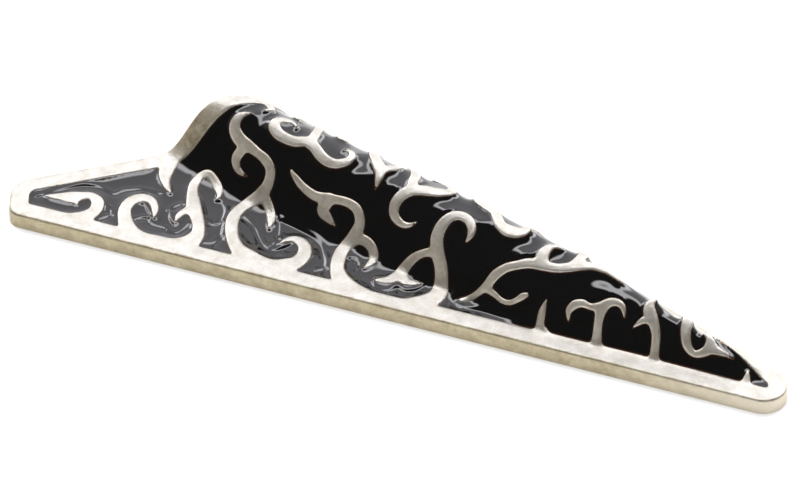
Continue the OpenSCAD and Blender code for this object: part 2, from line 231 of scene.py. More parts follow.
def outline():
    """Corners of the outline, counter-clockwise: the hull of its circles."""
    circles = list(CORNERS)
    for part in FAR_PARTS:
        x = CORNER_X + part * FAR_RUN
        circles.append((x, float(far_edge(x)) - FAR_RADIUS * math.hypot(1, FAR_SLOPE), FAR_RADIUS))
    angles = np.linspace(0, 2 * math.pi, CIRCLE_SIDES, endpoint=False)
    points = sorted((x + r * math.cos(a), y + r * math.sin(a)) for x, y, r in circles for a in angles)

    def turns_right(first, second, third):
        return ((second[0] - first[0]) * (third[1] - first[1])
                - (second[1] - first[1]) * (third[0] - first[0])) <= 1e-9

    def chain(rows):
        out = []
        for row in rows:
            while len(out) > 1 and turns_right(out[-2], out[-1], row):
                out.pop()
            out.append(row)
        return out[:-1]

    return np.array(chain(points) + chain(points[::-1]))


OUTLINE = outline()
SIDES = np.roll(OUTLINE, -1, axis=0) - OUTLINE
SIDE_NORMALS = np.stack([-SIDES[:, 1], SIDES[:, 0]], -1) / np.linalg.norm(SIDES, axis=1)[:, None]
SIDE_PLACES = (SIDE_NORMALS * OUTLINE).sum(1)


def inward(points):
    """How far inside the outline each point lies, in plan."""
    out = np.full(len(points), 1e9)
    for normal, place in zip(SIDE_NORMALS, SIDE_PLACES):
        np.minimum(out, points @ normal - place, out=out)
    return out


# Scrolls

# Each scroll is a list of points of its middle line: x, y and half of its width on the metal. They are
# those of part.scad, with one thin tip a little wider, and with fillets and an uneven inner edge of the
# border that the solid does without.
SCROLLS = [
    # leaf hook at the left tip, and its barb
    [(5.8, 1.0, .9), (6.9, 1.75, .85), (7.4, 2.6, .68), (7.5, 3.4, .6), (7.15, 4.3, .57),
     (6.35, 4.68, .5), (5.6, 4.35, .6), (4.9, 3.9, .78), (4.1, 3.68, .54), (3.4, 3.47, .36),
     (2.8, 3.35, .12)],
    [(5.2, 3.8, .4), (5.75, 3.15, .12)],
    # open hook
    [(12.5, 0.9, .85), (11.15, 1.8, .78), (10.3, 3.0, .64), (9.85, 4.1, .58), (9.9, 5.2, .6),
     (10.5, 5.95, .62), (11.3, 6.05, .5), (11.95, 5.55, .4), (12.35, 4.8, .32), (12.6, 4.0, .12)],
    # stem with a crook, and its barb
    [(16.3, 1.0, .9), (16.9, 1.9, .75), (17.0, 3.0, .65), (16.7, 4.1, .58), (16.1, 5.2, .6),
     (15.4, 6.2, .7), (14.8, 7.4, .62), (14.3, 8.5, .5), (14.1, 9.5, .48), (14.35, 10.3, .45),
     (14.95, 10.45, .42), (15.75, 9.95, .42), (16.4, 9.3, .38), (16.7, 8.7, .24), (16.65, 8.1, .08)],
    [(15.3, 6.2, .6), (14.75, 5.6, .42), (14.5, 4.9, .3), (14.55, 4.1, .1)],
    # thorn where the border starts to climb
    [(10.9, 11.8, .9), (11.1, 10.4, .72), (11.3, 9.5, .6), (11.7, 8.7, .42), (12.2, 8.0, .28),
     (12.7, 7.5, .06)],
    # large S on the open end of the dome, its barb and its lower branch
    [(22.8, 0.9, .9), (21.55, 2.1, .8), (20.25, 3.4, .62), (19.45, 4.8, .6), (19.0, 6.2, .6),
     (19.0, 7.4, .58), (19.4, 8.4, .6), (20.3, 9.1, .65), (20.78, 9.7, .54), (20.75, 10.4, .5),
     (20.1, 10.95, .5), (19.2, 11.35, .45), (18.2, 11.75, .55), (17.2, 12.15, .65), (16.5, 12.75, .6),
     (16.45, 13.35, .5), (16.9, 13.8, .3), (17.65, 14.05, .06)],
    [(17.9, 11.75, .5), (17.25, 11.25, .5), (17.45, 10.75, .4), (18.0, 10.4, .28), (18.7, 10.15, .06)],
    [(20.7, 9.0, .5), (21.3, 8.5, .45), (21.85, 7.8, .42), (22.15, 7.1, .36), (22.35, 6.2, .08)],
    # hook that curls back over the near border
    [(24.0, 1.0, 1.), (25.4, 1.8, .95), (26.2, 2.8, .8), (26.45, 3.8, .68), (26.2, 4.8, .6),
     (25.6, 5.45, .55), (24.9, 5.6, .45), (24.35, 5.25, .3), (23.95, 4.6, .08)],
    # long feather on the near flank, its barb and its lower branch
    [(31.5, 1.0, .9), (30.45, 2.2, .8), (29.7, 3.4, .64), (29.35, 4.8, .64), (29.33, 6.0, .62),
     (29.9, 6.78, .65), (30.12, 7.5, .52), (29.6, 8.18, .48), (28.6, 8.58, .43), (27.5, 8.75, .43),
     (26.6, 8.8, .52), (25.4, 9.0, .46), (24.2, 9.45, .4), (23.3, 9.95, .32), (22.7, 10.35, .15)],
    [(26.8, 8.75, .55), (26.45, 8.25, .6), (27.1, 7.8, .42), (27.95, 7.35, .06)],
    [(29.9, 6.7, .5), (30.9, 6.55, .5), (31.75, 6.15, .48), (32.18, 5.5, .43), (32.08, 4.8, .3),
     (31.8, 4.05, .06)],
    # volute on the crest, and the branch that goes over it
    [(22.0, 13.55, .08), (21.7, 14.0, .15), (21.0, 14.25, .3), (20.2, 13.95, .45), (20.0, 13.3, .55),
     (20.5, 12.7, .55), (21.4, 12.35, .52), (22.4, 12.2, .52), (23.4, 12.35, .52), (24.2, 12.0, .52),
     (25.0, 11.4, .52), (25.9, 11.0, .5), (26.8, 10.95, .45), (27.6, 11.3, .42), (27.75, 11.9, .35),
     (27.4, 12.35, .22), (26.8, 12.4, .08)],
    [(23.8, 12.3, .5), (23.8, 13.0, .48), (23.75, 14.0, .42), (23.4, 15.4, .42), (22.6, 16.4, .42),
     (21.6, 16.5, .36), (21.1, 15.8, .24), (21.5, 15.3, .08)],
    # fork on the crest and its right arm
    [(30.8, 9.45, .06), (30.8, 10.1, .32), (30.75, 10.8, .48), (30.4, 11.5, .58), (29.9, 12.2, .52),
     (29.35, 13.1, .5), (29.1, 14.2, .42), (29.8, 15.0, .3), (30.6, 14.7, .08)],
    [(30.8, 11.2, .5), (31.4, 11.6, .42), (31.9, 11.95, .3), (32.25, 12.4, .08)],
    # hook over the crest and its left branch
    [(35.3, 7.5, .08), (34.7, 7.3, .24), (33.9, 7.4, .36), (33.1, 7.9, .46), (32.95, 8.6, .52),
     (33.4, 9.3, .55), (34.2, 9.8, .55), (35.2, 10.0, .57), (36.3, 10.15, .55), (37.05, 10.55, .48),
     (37.15, 11.3, .45), (36.6, 12.0, .4), (35.7, 12.6, .3), (35.0, 12.5, .08)],
    [(33.9, 9.9, .5), (33.8, 10.7, .48), (33.7, 11.6, .48), (33.3, 12.6, .48), (32.6, 13.6, .45),
     (32.4, 14.7, .5), (33.2, 16.2, .8)],
    # tree with a crook, its left branch and the branch's second tip
    [(37.2, 1.0, 1.0), (38.35, 2.0, .98), (38.87, 3.0, .84), (38.82, 4.0, .7), (38.5, 4.9, .65),
     (37.9, 5.7, .65), (37.5, 6.5, .63), (37.6, 7.3, .58), (38.1, 8.0, .5), (38.8, 8.3, .46),
     (39.6, 8.15, .44), (40.2, 7.6, .42), (40.4, 7.0, .35), (40.2, 6.45, .12)],
    [(37.6, 5.8, .5), (36.6, 5.76, .38), (35.7, 5.5, .45), (35.1, 4.95, .54), (34.85, 4.2, .6),
     (34.4, 3.5, .52), (33.8, 3.2, .36), (33.3, 3.05, .15)],
    [(35.2, 4.2, .6), (35.9, 3.8, .48), (36.5, 3.85, .34), (37.1, 4.0, .1)],
    # cup shape on the crest
    [(39.6, 13.2, .9), (39.5, 12.0, .7), (39.9, 11.0, .75), (40.8, 10.3, .72), (41.65, 9.65, .55),
     (42.1, 8.9, .5), (42.7, 8.2, .55), (43.6, 7.85, .65), (44.5, 8.0, .55), (44.85, 8.6, .32),
     (44.75, 9.05, .1)],
    # long branch down the near flank, its ring and its lower tip
    [(40.95, 3.2, .22), (41.6, 3.4, .28), (42.3, 3.65, .32), (42.95, 4.0, .42), (43.5, 4.55, .46),
     (44.3, 5.0, .42), (45.2, 5.25, .42), (46.2, 5.5, .48), (47.4, 5.5, .48), (48.6, 5.5, .44),
     (49.6, 5.8, .48), (50.6, 6.25, .5), (51.6, 6.5, .4), (52.6, 6.4, .3), (53.4, 6.15, .22),
     (54.1, 5.75, .08)],
    [(47.1, 6.0, .6), (47.1, 6.6, .54), (47.4, 7.2, .37), (47.85, 7.45, .22), (48.4, 7.4, .08)],
    [(50.0, 6.3, .45), (50.25, 7.1, .46), (50.2, 8.0, .46), (49.7, 8.9, .45), (48.8, 9.5, .38),
     (47.9, 9.5, .1)],
    [(43.1, 3.8, .36), (43.8, 3.55, .3), (44.5, 3.28, .27), (45.2, 3.15, .26), (45.8, 3.25, .27),
     (46.3, 3.45, .32), (46.65, 3.55, .22)],
    # small thorn on the near border
    [(48.7, 1.3, .8), (48.4, 2.1, .42), (48.35, 2.7, .35), (48.45, 3.3, .1)],
    # anchor and its left arm
    [(53.6, 1.0, .8), (53.45, 2.0, .45), (53.3, 2.8, .4), (53.35, 3.5, .5), (53.85, 3.95, .42),
     (54.5, 4.08, .34), (55.05, 3.85, .27), (55.4, 3.3, .09)],
    [(53.0, 3.5, .42), (52.3, 3.44, .3), (51.6, 3.52, .36), (51.0, 3.35, .4), (50.62, 2.95, .3),
     (50.78, 2.45, .08)],
    # stem with a barb
    [(58.65, 1.2, .5), (58.5, 2.2, .4), (58.3, 2.9, .4), (57.8, 3.55, .5), (57.3, 4.1, .55),
     (57.2, 4.55, .42), (57.3, 4.95, .28), (57.55, 5.28, .1)],
    [(57.5, 3.6, .4), (57.0, 3.4, .32), (56.65, 3.15, .2), (56.3, 2.88, .08)],
    # comma shape and its inner curl
    [(60.4, 6.6, .7), (60.5, 5.4, .5), (60.6, 4.3, .5), (60.7, 3.5, .46), (61.1, 2.75, .41),
     (61.8, 2.42, .33), (62.5, 2.6, .4), (63.1, 3.0, .5), (63.8, 3.05, .36), (64.5, 3.05, .22),
     (65.1, 3.0, .06)],
    [(63.0, 3.3, .48), (62.8, 3.62, .36), (62.45, 3.8, .18), (62.15, 3.85, .06)],
    # thorn at the right tip
    [(66.6, 1.2, .6), (66.6, 2.0, .34), (66.55, 2.4, .2), (66.45, 2.7, .08)],
    # scrolls of the far flank
    [(17.4, 17.2, .7), (18.4, 16.2, .42), (18.9, 15.4, .34), (18.5, 14.8, .08)],
    [(26.9, 17.9, .8), (26.3, 16.3, .5), (25.6, 15.4, .42), (25.7, 14.5, .34), (26.4, 14.1, .08)],
    [(47.2, 11.8, .8), (46.3, 10.6, .45), (45.3, 10.2, .4), (44.5, 10.6, .3), (44.7, 11.0, .08)],
    [(53.9, 10.2, .8), (53.5, 8.9, .4), (54.2, 8.1, .34), (55.0, 8.0, .08)],
    # fillets where the roots of the scrolls run into the near border
    [(14.0, 0.95, .85), (15.3, 1.25, .75), (16.2, 2.1, .5), (16.7, 3.0, .45)],
    [(21.55, 2.3, .85), (22.0, 2.0, 1.0), (22.9, 1.65, 1.0), (23.9, 1.5, 1.0), (24.8, 1.6, 1.0),
     (25.6, 2.1, .95)],
    [(30.9, 1.75, .9), (31.8, 1.3, .9), (32.8, 1.0, .82)],
    # uneven inner edge of the near border
    [(0.8, 0.9, .9), (2.5, 0.9, .93), (5.5, 0.9, .93), (8.5, 0.9, .83), (10.5, 0.9, .83),
     (12.5, 0.9, .93), (16.0, 0.9, .95), (18.0, 0.9, .9), (21.0, 0.9, .9), (24.0, 0.9, .84),
     (30.0, 0.9, .84), (32.5, 0.9, .75), (33.5, 0.9, .5), (36.5, 0.9, .5), (38.5, 0.9, .75),
     (39.5, 0.9, .93), (47.5, 0.9, .93), (49.0, 0.9, .8), (53.0, 0.9, .78), (55.0, 0.9, .82),
     (58.0, 0.9, .82), (60.0, 0.9, .76), (66.0, 0.9, .76), (67.0, 0.9, .88), (68.2, 0.9, .93)],
]


LINE_STEPS = 5       # points of the smooth line to each point of a scroll
LEAST_HALF = 0.03    # least half width of a scroll
SCROLL_REACH = 1.2   # how far from a scroll its distance is still worked out
SCROLL_BLEND = 0.3   # rounding of the corners where scrolls meet


def smooth_line(rows):
    """A smooth line through a list of points."""
    points = np.array(rows, float)
    points = np.vstack([points[0], points, points[-1]])
    out = []
    for i in range(1, len(points) - 2):
        a, b, c, d = points[i - 1:i + 3]
        for step in range(LINE_STEPS):
            t = step / LINE_STEPS
            out.append(0.5 * (2 * b + (c - a) * t + (2 * a - 5 * b + 4 * c - d) * t * t
                              + (3 * b - a - 3 * c + d) * t ** 3))
    out.append(points[-2])
    return np.array(out)


def scroll_line(rows):
    """A scroll's middle line in plan, the same line on the face, and half of its width."""
    plan = smooth_line(rows)
    return plan, on_face(plan), np.maximum(plan[:, 2], LEAST_HALF)


LINES = [scroll_line(rows) for rows in SCROLLS]


def soft_min(a, b, blend):
    near = np.maximum(blend - np.abs(a - b), 0.0) / blend
    return np.minimum(a, b) - near * near * blend * 0.25


def to_silver(points):
    """Distance along the face from the nearest silver edge: under zero on silver, over zero on enamel."""
    out = inward(points) - BORDER
    lifted = on_face(points)
    for plan, line, half in LINES:
        low = plan[:, :2].min(0) - half.max() - SCROLL_REACH
        high = plan[:, :2].max(0) + half.max() + SCROLL_REACH
        near = np.nonzero((points > low).all(1) & (points < high).all(1))[0]
        if not len(near):
            continue
        around = lifted[near]
        best = np.full(len(near), 1e9)
        for start, end, half_start, half_end in zip(line[:-1], line[1:], half[:-1], half[1:]):
            run = end - start
            t = np.clip((around - start) @ run / max(run @ run, 1e-12), 0, 1)
            off = around - start - t[:, None] * run
            width = half_start + (half_end - half_start) * t
            np.minimum(best, np.sqrt((off * off).sum(1)) - width, out=best)
        out[near] = soft_min(out[near], best, SCROLL_BLEND)
    return out


# Cutting a grid of triangles along level lines

PLAN_X, PLAN_Y = (-1.0, 71.5), (-1.0, 21.0)
SNAP_WITHIN = 0.18    # points this near to a line move onto it, as a part of the grid's step
SNAP_MOST = 0.25      # the most that they move
FRESH_MOST = 0.2      # and the most that a new point moves
FOLDED = 1e-5         # a triangle with less room than this is folded or crushed


def plan_grid(step):
    """A triangle grid over the plan: its points, its triangles and its two numbers of points."""
    counts = [int((high - low) / step) + 1 for low, high in (PLAN_X, PLAN_Y)]
    xs, ys = np.meshgrid(PLAN_X[0] + np.arange(counts[0]) * step, PLAN_Y[0] + np.arange(counts[1]) * step,
                         indexing="ij")
    points = np.stack([xs.ravel(), ys.ravel()], -1)
    i, j = np.meshgrid(np.arange(counts[0] - 1), np.arange(counts[1] - 1), indexing="ij")
    a = (i * counts[1] + j).ravel()
    b, c, d = a + counts[1], a + counts[1] + 1, a + 1
    odd = ((i + j).ravel() % 2).astype(bool)
    triangles = np.vstack([np.stack([a, b, c], -1)[odd], np.stack([a, c, d], -1)[odd],
                           np.stack([a, b, d], -1)[~odd], np.stack([b, c, d], -1)[~odd]])
    return points, triangles, counts


def only(points, triangles, keep, *extra):
    """The kept triangles with the points that they use, and those points' other values."""
    triangles = triangles[keep]
    used = np.unique(triangles)
    new = np.full(len(points), -1)
    new[used] = np.arange(len(used))
    return (points[used], new[triangles], *[values[used] for values in extra])


def slope_of(value_at, points, h=0.01):
    across = (value_at(points + [h, 0]) - value_at(points - [h, 0])) / (2 * h)
    up = (value_at(points + [0, h]) - value_at(points - [0, h])) / (2 * h)
    return np.stack([across, up], -1)


def move_to(value_at, points, level, most):
    """Points moved along the slope of the values until they lie on a level line."""
    for _ in range(2):
        slope = slope_of(value_at, points)
        steepness = np.maximum((slope * slope).sum(1), 0.05)
        move = slope * ((level - value_at(points)) / steepness)[:, None]
        length = np.linalg.norm(move, axis=1)
        points = points + move * np.minimum(1.0, most / np.maximum(length, 1e-9))[:, None]
    return points


def unfolded(before, after, triangles):
    """The points' new places, or their old ones where a triangle would fold over."""
    out = after.copy()
    for _ in range(6):
        e = out[triangles[:, 1]] - out[triangles[:, 0]]
        f = out[triangles[:, 2]] - out[triangles[:, 0]]
        bad = np.unique(triangles[e[:, 0] * f[:, 1] - e[:, 1] * f[:, 0] < FOLDED])
        if (out[bad] == before[bad]).all():
            break
        out[bad] = before[bad]
    return out


def turned(triangles, first):
    """Triangles that start at the given corner."""
    i = np.arange(len(triangles))
    return np.stack([triangles[i, (first + k) % 3] for k in range(3)], -1)


def cut(points, triangles, values, fixed, value_at, level, step):
    """Splits the triangles along a level line of value_at.

    values holds value_at at the points. Points near the line are moved onto it, and they and the
    new points on the line are fixed: later cuts leave them in their places.
    """
    close = np.nonzero((np.abs(values - level) < SNAP_WITHIN * step) & ~fixed)[0]
    if len(close):
        moved = points.copy()
        moved[close] = move_to(value_at, points[close], level, SNAP_MOST * step)
        moved = unfolded(points, moved, triangles)
        done = close[(moved[close] != points[close]).any(1)]
        points = moved
        values[done] = level
        fixed[done] = True
    side = np.sign(np.where(np.abs(values - level) < 1e-7, 0.0, values - level)).astype(int)
    sides = side[triangles]
    crossed = (sides.max(1) > 0) & (sides.min(1) < 0)
    whole, triangles, sides = triangles[~crossed], triangles[crossed], sides[crossed]
    if not len(triangles):
        return points, whole, values, fixed
    # triangles with a point on the line are cut into two, the others into three
    touching = (sides == 0).any(1)
    two = turned(triangles[touching], np.argmax(sides[touching] == 0, axis=1))
    others = sides[~touching]
    three = turned(triangles[~touching], np.argmax(others == -np.sign(others.sum(1))[:, None], axis=1))
    edges = np.vstack([two[:, [1, 2]], three[:, [0, 1]], three[:, [0, 2]]])
    pairs, where = np.unique(np.sort(edges, axis=1), axis=0, return_inverse=True)
    count = len(points)
    where = where.ravel() + count
    a, b = pairs[:, 0], pairs[:, 1]
    share = ((level - values[a]) / (values[b] - values[a]))[:, None]
    fresh = points[a] * (1 - share) + points[b] * share
    points = np.vstack([points, fresh])
    values = np.concatenate([values, np.full(len(fresh), level)])
    fixed = np.concatenate([fixed, np.ones(len(fresh), bool)])
    middle, ab, ac = np.split(where, [len(two), len(two) + len(three)])
    triangles = np.vstack([
        whole,
        np.stack([two[:, 0], two[:, 1], middle], -1), np.stack([two[:, 0], middle, two[:, 2]], -1),
        np.stack([three[:, 0], ab, ac], -1), np.stack([ab, three[:, 1], three[:, 2]], -1),
        np.stack([ab, three[:, 2], ac], -1)])
    moved = np.vstack([points[:count], move_to(value_at, fresh, level, FRESH_MOST * step)])
    return unfolded(points, moved, triangles), triangles, values, fixed


# Meshes

def linked(name, mesh):
    piece = bpy.data.objects.new(name, mesh)
    bpy.context.collection.objects.link(piece)
    return piece


def mesh_object(name, points, faces, **attributes):
    """A smooth mesh piece from points in millimetres, with values at its points for the materials."""
    mesh = bpy.data.meshes.new(name)
    mesh.from_pydata(to_row(points).tolist(), [], faces.tolist())
    mesh.update()
    for key, values in attributes.items():
        layer = mesh.attributes.new(key, "FLOAT", "POINT")
        layer.data.foreach_set("value", np.asarray(values, np.float32))
    mesh.polygons.foreach_set("use_smooth", np.full(len(mesh.polygons), True))
    return linked(name, mesh)


# The silver body

EDGE_WIDTH, EDGE_FALL = 0.26, 0.18    # rounding of the scrolls' edges, across and down
RIM_RADIUS = 0.2                      # rounding of the outer edge
WALL_WIDTH, WALL_DEPTH = 0.035, 0.42  # steep wall beside a scroll, under the enamel
BED_WIDTH, BED_DEPTH = 0.3, 0.45      # and the slope from its foot to the bed
TOP_STEP, BACK_STEP = 0.18, 0.5       # size of the triangles on the face and on the back
# Distances from the outer edge and from the scrolls' edges along which the face is cut
RIM_LEVELS = (0.04, RIM_RADIUS)
SILVER_LEVELS = (WALL_WIDTH, 0.0, -0.05, -0.12, -EDGE_WIDTH)
ALMOST = 1e-6                         # rounding error in a distance

# The painted shade of steep flanks is full where the upright part of the face's normal is this small, and
# fades out as it grows.
STEEP, STEEP_OVER = 0.55, 0.35
# The painted shade is twice as strong on the strip round the dome's open end: up to this far right, and this
# far in.
STRIP_X, STRIP_X_OVER = 17.5, 3.0
STRIP_RIM, STRIP_RIM_OVER = BORDER - 0.2, 0.4
MID_SLOPE_SHADE = 0.5


def rounded(place, radius):
    """How far a rounded edge falls at a place this far in from the edge."""
    place = np.clip(place, 0.0, radius)
    return radius - np.sqrt(np.maximum(radius * radius - (radius - place) ** 2, 0.0))


def silver_top():
    """The face with its scrolls, in plan and in space, and the bed that lies under the enamel."""
    plan, triangles, _ = plan_grid(TOP_STEP)
    rim = inward(plan)
    plan, triangles, rim = only(plan, triangles, (rim[triangles] > -TOP_STEP).any(1), rim)
    fixed = np.zeros(len(plan), bool)
    plan, triangles, rim, fixed = cut(plan, triangles, rim, fixed, inward, 0.0, TOP_STEP)
    plan, triangles, rim, fixed = only(plan, triangles, (rim[triangles] > -ALMOST).all(1), rim, fixed)
    for level in RIM_LEVELS:
        plan, triangles, rim, fixed = cut(plan, triangles, rim, fixed, inward, level, TOP_STEP)
    edge = to_silver(plan)
    for level in SILVER_LEVELS:
        plan, triangles, edge, fixed = cut(plan, triangles, edge, fixed, to_silver, level, TOP_STEP)
    # across a thin scroll the cut points can miss their level, so the distance is measured again
    measured = to_silver(plan)
    edge = np.where((edge > 0) & (measured > -0.05), edge, np.minimum(measured, 0.0))
    sunk = fade_in(edge, 0.0, WALL_WIDTH) * WALL_DEPTH + fade_in(edge, WALL_WIDTH, BED_WIDTH) * BED_DEPTH
    sunk = rounded(-edge, EDGE_WIDTH) * EDGE_FALL / EDGE_WIDTH + sunk
    rim = inward(plan)
    face = on_face(plan, -sunk)
    face[:, 2] -= rounded(rim, RIM_RADIUS)
    return plan, triangles, edge, rim, face


def hollow_back():
    """The flat back with the hollow under the dome."""
    def roof_at(points):
        return roof(points[:, 0], points[:, 1])

    plan, triangles, _ = plan_grid(BACK_STEP)
    rim = inward(plan)
    plan, triangles, rim = only(plan, triangles, (rim[triangles] > -BACK_STEP).any(1), rim)
    fixed = np.zeros(len(plan), bool)
    plan, triangles, rim, fixed = cut(plan, triangles, rim, fixed, inward, 0.0, BACK_STEP)
    plan, triangles, rim, fixed = only(plan, triangles, (rim[triangles] > -ALMOST).all(1), rim, fixed)
    plan, triangles, _, _ = cut(plan, triangles, roof_at(plan), fixed, roof_at, 0.0, BACK_STEP)
    return np.column_stack([plan, np.maximum(0.0, roof_at(plan))]), triangles[:, ::-1]


def rim_edges(triangles, on_rim):
    """Directed edges of the mesh's border that lie on the outline."""
    edges = np.vstack([triangles[:, [0, 1]], triangles[:, [1, 2]], triangles[:, [2, 0]]])
    _, first, count = np.unique(np.sort(edges, axis=1), axis=0, return_index=True, return_counts=True)
    edges = edges[first[count == 1]]
    return edges[on_rim[edges].all(1)]


def outer_wall(triangles, rim, plan, face):
    """The wall from the rounded outer edge down to the back."""
    border = rim_edges(triangles, rim < 1e-4)
    loop = np.unique(border)
    foot = face[loop].copy()
    foot[:, 2] = np.maximum(0.0, roof(plan[loop, 0], plan[loop, 1]))
    below = np.full(len(face), -1)
    below[loop] = len(face) + np.arange(len(loop))
    a, b = border[:, 0], border[:, 1]
    return foot, np.vstack([np.stack([b, a, below[a]], -1), np.stack([b, below[a], below[b]], -1)])


def silver_body():
    plan, triangles, edge, rim, face = silver_top()
    foot, wall = outer_wall(triangles, rim, plan, face)
    back, under = hollow_back()
    points = np.vstack([face, foot, back])
    faces = np.vstack([triangles, wall, under + len(face) + len(foot)])
    rest = len(foot) + len(back)
    edges = np.concatenate([edge, np.full(rest, -1.0)])
    rims = np.concatenate([rim, np.zeros(len(foot)), np.full(len(back), 0.5)])
    # painted shade: a value that darkens the face's colour as it steepens, twice as much on the strip round
    # the open end
    steep = 1 - fade_in(FACE.normal(plan[:, 0], plan[:, 1])[:, 2], STEEP, STEEP_OVER)
    strip = (1 - fade_in(plan[:, 0], STRIP_X, STRIP_X_OVER)) * (1 - fade_in(rim, STRIP_RIM, STRIP_RIM_OVER))
    patina = MID_SLOPE_SHADE * steep * (1 + strip)
    # the outer wall and the back get the middle amount of painted shade
    patina = np.concatenate([patina, np.full(rest, MID_SLOPE_SHADE)])
    return mesh_object("silver_body", points, faces, edge=edges, rim=rims, patina=patina)


# The enamel

ENAMEL_EDGE = 0.08       # depth of the enamel under the silver where they meet
ENAMEL_DROP = 0.31       # and in the middle of a cell
STEEP_DROP = 0.35        # part of that drop which is left on a steep flank
ENAMEL_THICK = 0.22      # thickness of the enamel
ENAMEL_REACH = 0.52      # how far the slope between edge and middle reaches
ENAMEL_UNDER = 0.12      # how far the enamel runs on under the silver
ENAMEL_STEP = 0.115      # size of the triangles
SETTLING_ROUNDS = 220    # rounds in which the surface settles
LEAST_UPRIGHT = 0.45     # a slope's upright part is taken as this at least
# The drop grows to its whole size from a steep slope, by its upright part, to a flat place.
FLAT_START, FLAT_OVER = 0.6, 0.35
# Slow waves all over, and thin ripples, which are higher by a part where they run away
WAVE_HEIGHT, WAVE_SIZES, WAVE_SEED = 0.03, (2.2, 3.6), 4
RIPPLE_HEIGHT, RIPPLE_WIDTH, RIPPLE_EXTRA = 0.035, 0.2, 0.6
CALM = 0.25              # ripples and bulges die away this near to the silver


def waves(points):
    """Smooth random waves over the plan, about -1 to 1."""
    rng = np.random.default_rng(WAVE_SEED)
    out = np.zeros(len(points))
    for size in WAVE_SIZES:
        for _ in range(5):
            direction, phase = rng.uniform(0, 2 * math.pi, 2)
            turns = 2 * math.pi / (size * rng.uniform(0.75, 1.35))
            along = points[:, 0] * math.cos(direction) + points[:, 1] * math.sin(direction)
            out += np.sin(along * turns + phase)
    return out / (3.0 * math.sqrt(len(WAVE_SIZES)))


# Ripples that show as thin light lines in the enamel, each a line of points in plan
RIPPLES = [
    [(2.2, 3.2), (3.3, 4.2), (4.7, 5.6), (5.5, 6.0), (6.6, 6.25), (8.0, 5.8), (8.6, 6.5), (9.2, 6.9),
     (10.1, 7.3), (11.6, 7.25)],
    [(8.4, 3.9), (8.8, 3.45), (8.8, 2.85), (8.4, 2.25)],
    [(11.1, 5.4), (11.6, 4.8), (11.9, 4.5)],
    [(11.1, 3.2), (11.6, 3.75), (12.0, 3.9)],
    [(12.2, 3.75), (12.5, 3.3), (13.1, 3.2), (14.0, 3.2), (14.3, 2.85), (15.1, 2.9), (15.5, 3.6),
     (15.8, 4.7)],
    [(14.0, 6.5), (13.6, 6.0), (13.5, 5.3), (13.8, 4.5), (14.4, 3.9)],
    [(16.6, 8.5), (17.7, 7.4), (18.1, 6.0)],
    [(17.1, 5.05), (17.7, 5.0), (18.3, 5.6)],
    [(17.9, 2.4), (18.6, 2.85), (18.8, 3.9), (18.6, 4.8)],
    [(19.5, 6.95), (20.4, 6.5), (21.2, 5.9), (21.9, 5.0), (22.6, 4.2), (23.2, 3.75), (23.9, 3.9),
     (24.6, 4.6)],
    [(22.8, 7.4), (23.2, 6.4), (23.5, 5.3), (23.3, 4.3)],
    [(22.6, 7.5), (23.6, 7.4), (24.6, 7.1), (25.6, 6.75), (26.5, 6.4), (27.3, 5.7), (27.9, 4.8),
     (28.4, 3.9), (28.6, 3.0), (28.2, 2.6)],
    [(22.4, 3.05), (23.6, 3.1), (24.8, 3.45), (25.6, 3.75)],
    [(20.3, 4.2), (21.2, 3.6), (22.1, 3.2)],
    [(30.2, 5.0), (30.7, 5.1), (31.2, 4.6), (31.3, 3.8), (31.7, 3.2)],
    [(30.4, 4.6), (30.6, 3.8), (31.2, 3.2)],
    [(33.1, 3.1), (33.3, 2.5), (33.9, 2.1), (34.8, 2.3), (35.3, 3.0), (36.0, 2.8), (36.8, 3.1),
     (37.2, 3.7)],
    [(36.1, 4.9), (37.2, 4.75), (38.0, 3.9), (38.1, 3.3)],
    [(40.0, 3.9), (40.1, 3.3), (40.6, 2.6), (41.2, 2.3)],
    [(40.7, 3.0), (41.2, 2.5), (43.0, 2.6), (45.0, 2.5), (46.7, 2.6), (47.9, 2.05)],
    [(48.9, 2.3), (50.0, 2.1), (50.8, 1.95), (52.7, 1.95)],
    [(54.1, 2.3), (55.2, 2.1), (56.5, 1.9), (57.8, 2.0)],
]

# Places near the crest where the enamel bulges and mirrors the whole screen: x, y, the sizes along
# them, and the height
BULGES = [(28.9, 10.15, 0.85, 0.55, 0.34), (32.1, 9.8, 0.6, 0.5, 0.26), (37.3, 8.65, 0.85, 0.5, 0.24),
          (40.8, 8.05, 0.65, 0.5, 0.18), (45.5, 6.15, 0.75, 0.5, 0.26), (53.0, 4.5, 1.1, 0.6, 0.34)]


def bulges(points):
    out = np.zeros(len(points))
    for x, y, size_x, size_y, height in BULGES:
        off_x, off_y = (points[:, 0] - x) / size_x, (points[:, 1] - y) / size_y
        out += height * np.exp(-0.5 * (off_x ** 2 + off_y ** 2))
    return out


def ripples(points):
    """Height of the ripples: each has a ridge on its far side and a furrow on its near side.

    They are higher where the line runs away from the near edge.
    """
    out = np.zeros(len(points))
    for rows in RIPPLES:
        line = smooth_line(rows)
        near = np.nonzero((points > line.min(0) - 1).all(1) & (points < line.max(0) + 1).all(1))[0]
        around = points[near]
        best, lift = np.full(len(near), 1e9), np.zeros(len(near))
        for start, end in zip(line[:-1], line[1:]):
            run = end - start
            length = math.hypot(*run)
            if length < 1e-6:
                continue
            t = np.clip((around - start) @ run / length ** 2, 0.0, 1.0)
            off = around - start - t[:, None] * run
            distance = np.hypot(off[:, 0], off[:, 1])
            on_far_side = (run[0] * off[:, 1] - run[1] * off[:, 0]) * (1 if run[0] >= 0 else -1) >= 0
            closer = distance < best
            best[closer] = distance[closer]
            place = np.where(on_far_side, distance, -distance)[closer] / RIPPLE_WIDTH
            height = RIPPLE_HEIGHT * (1 + RIPPLE_EXTRA * abs(run[1]) / length)
            lift[closer] = height * place * np.exp(0.5 - 0.5 * place * place)
        out[near] += lift
    return out


